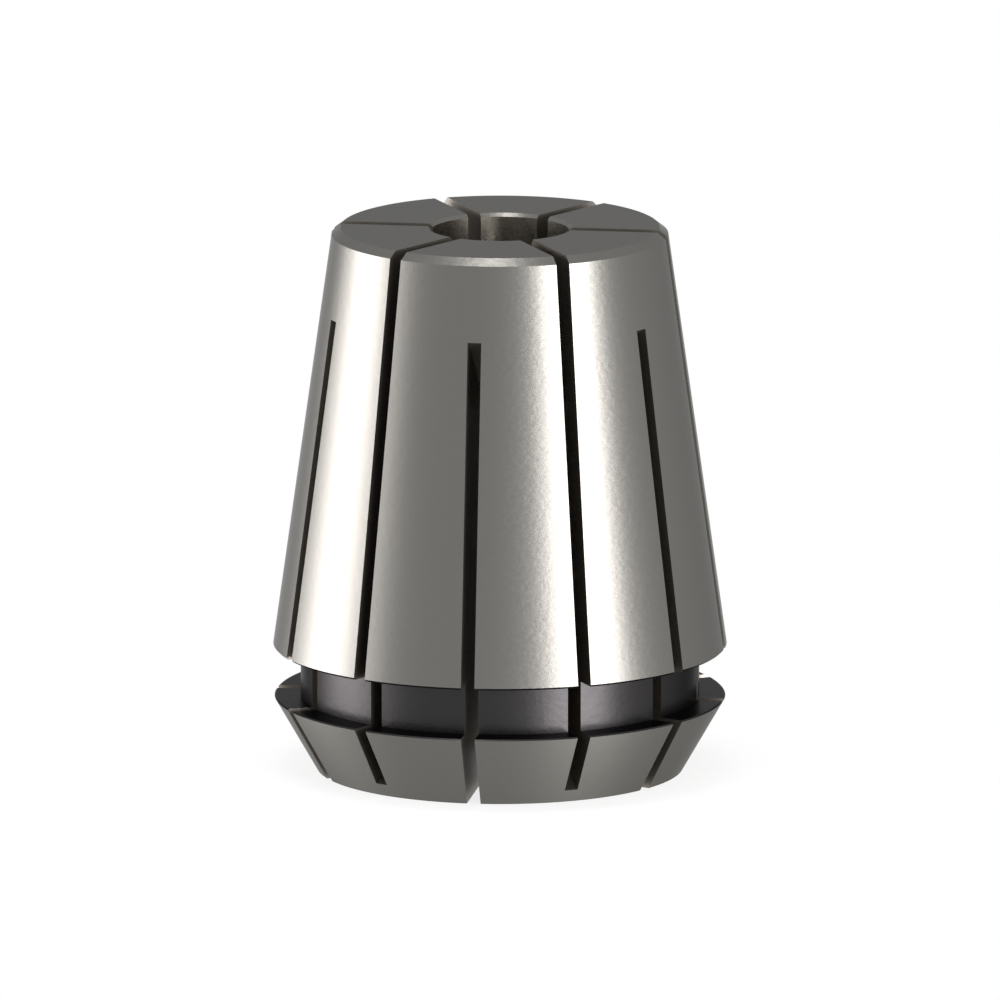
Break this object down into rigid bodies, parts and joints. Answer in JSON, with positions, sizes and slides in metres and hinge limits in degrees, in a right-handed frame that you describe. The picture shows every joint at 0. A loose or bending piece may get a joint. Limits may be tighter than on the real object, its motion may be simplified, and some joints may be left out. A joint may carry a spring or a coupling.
{
  "type": "er collet",
  "caption": "Slotted spring collet with a long locating taper, an ejector groove and a short nut cone, which closes evenly on a round shank in its bore.",
  "frame": {"origin": "centre of the large-end face, on the bore axis, where the collet stands", "axes": "+Z along the bore from the large (nut) end to the small end; one slot of the large end opens towards -Y"},
  "size_m": [0.033, 0.033, 0.04],
  "materials": {
    "ground_steel": "hardened and fine ground"
  },
  "bodies": {
    "root": {"collet": "ground_steel"}
  },
  "joints": []
}
